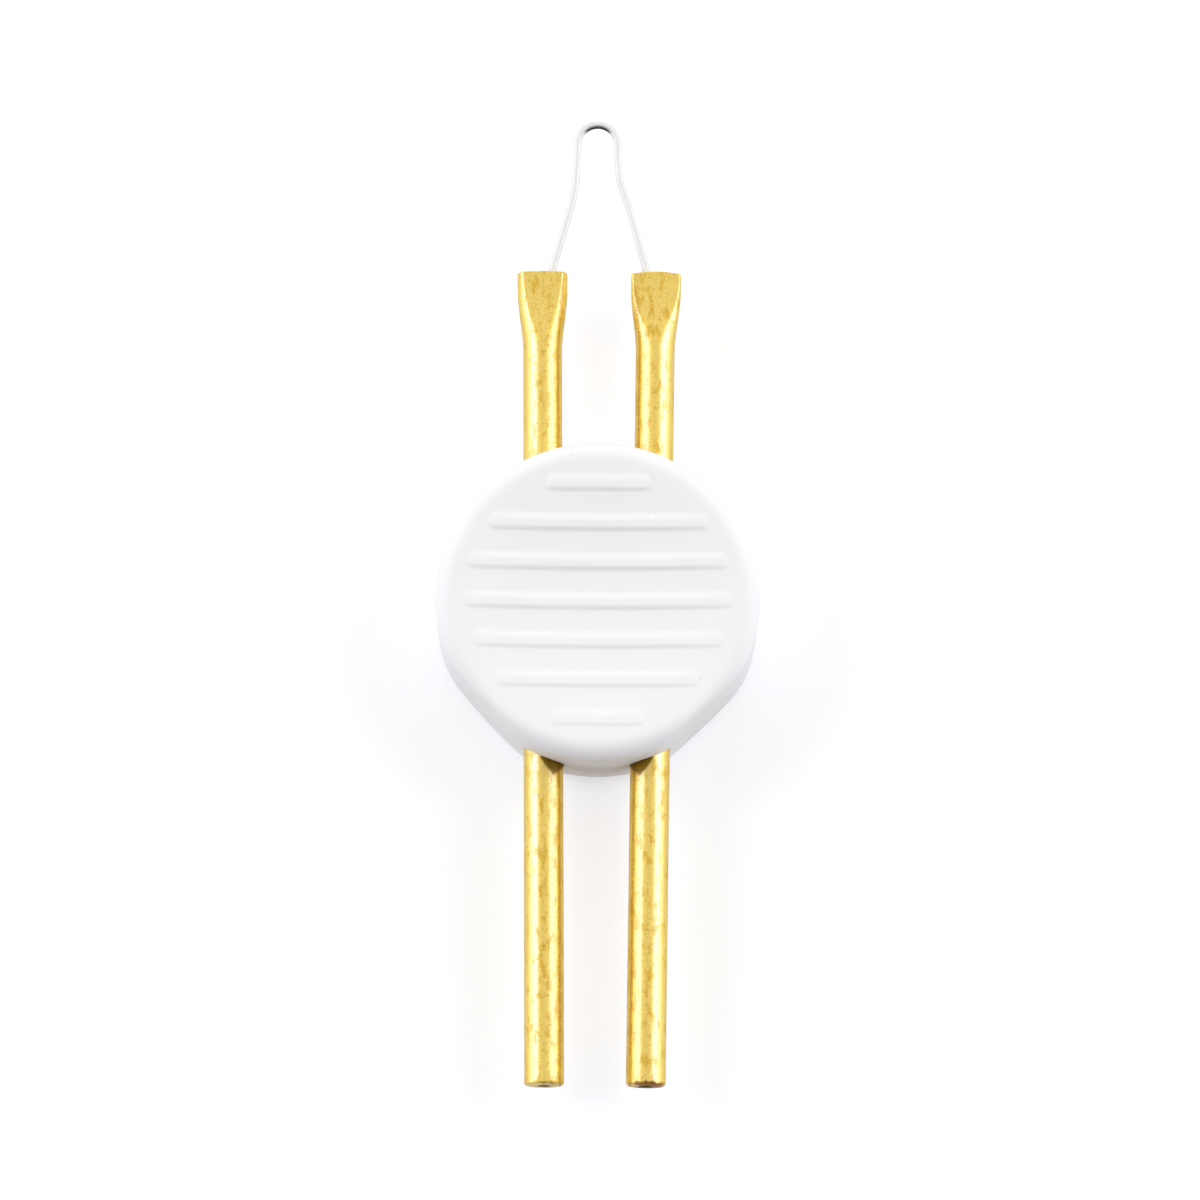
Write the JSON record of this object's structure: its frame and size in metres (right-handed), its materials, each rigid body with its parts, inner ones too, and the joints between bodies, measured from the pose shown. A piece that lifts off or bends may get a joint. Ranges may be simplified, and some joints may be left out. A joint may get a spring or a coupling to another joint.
{
  "type": "thread burner tip",
  "caption": "Plug-in hot-wire tip for a thread burner: brass contact tubes in a round ribbed pinch grip carry a hairpin heating wire that cuts and seals thread ends.",
  "frame": {"origin": "middle of the part's length and width, on the plane that it lies on", "axes": "+Y along the tubes towards the hairpin wire, +Z out of the grip's front face, X across the tubes"},
  "size_m": [0.0194, 0.0596, 0.0078],
  "materials": {
    "brass_tube": "drawn, bright, lightly tarnished",
    "resistance_wire": "bright drawn wire, dulled at the arch",
    "white_plastic": "fine matte moulding"
  },
  "bodies": {
    "root": {"contact_tube_left": "brass_tube", "contact_tube_right": "brass_tube", "heating_wire": "resistance_wire", "grip_front_shell": "white_plastic", "grip_rear_shell": "white_plastic"}
  },
  "joints": []
}
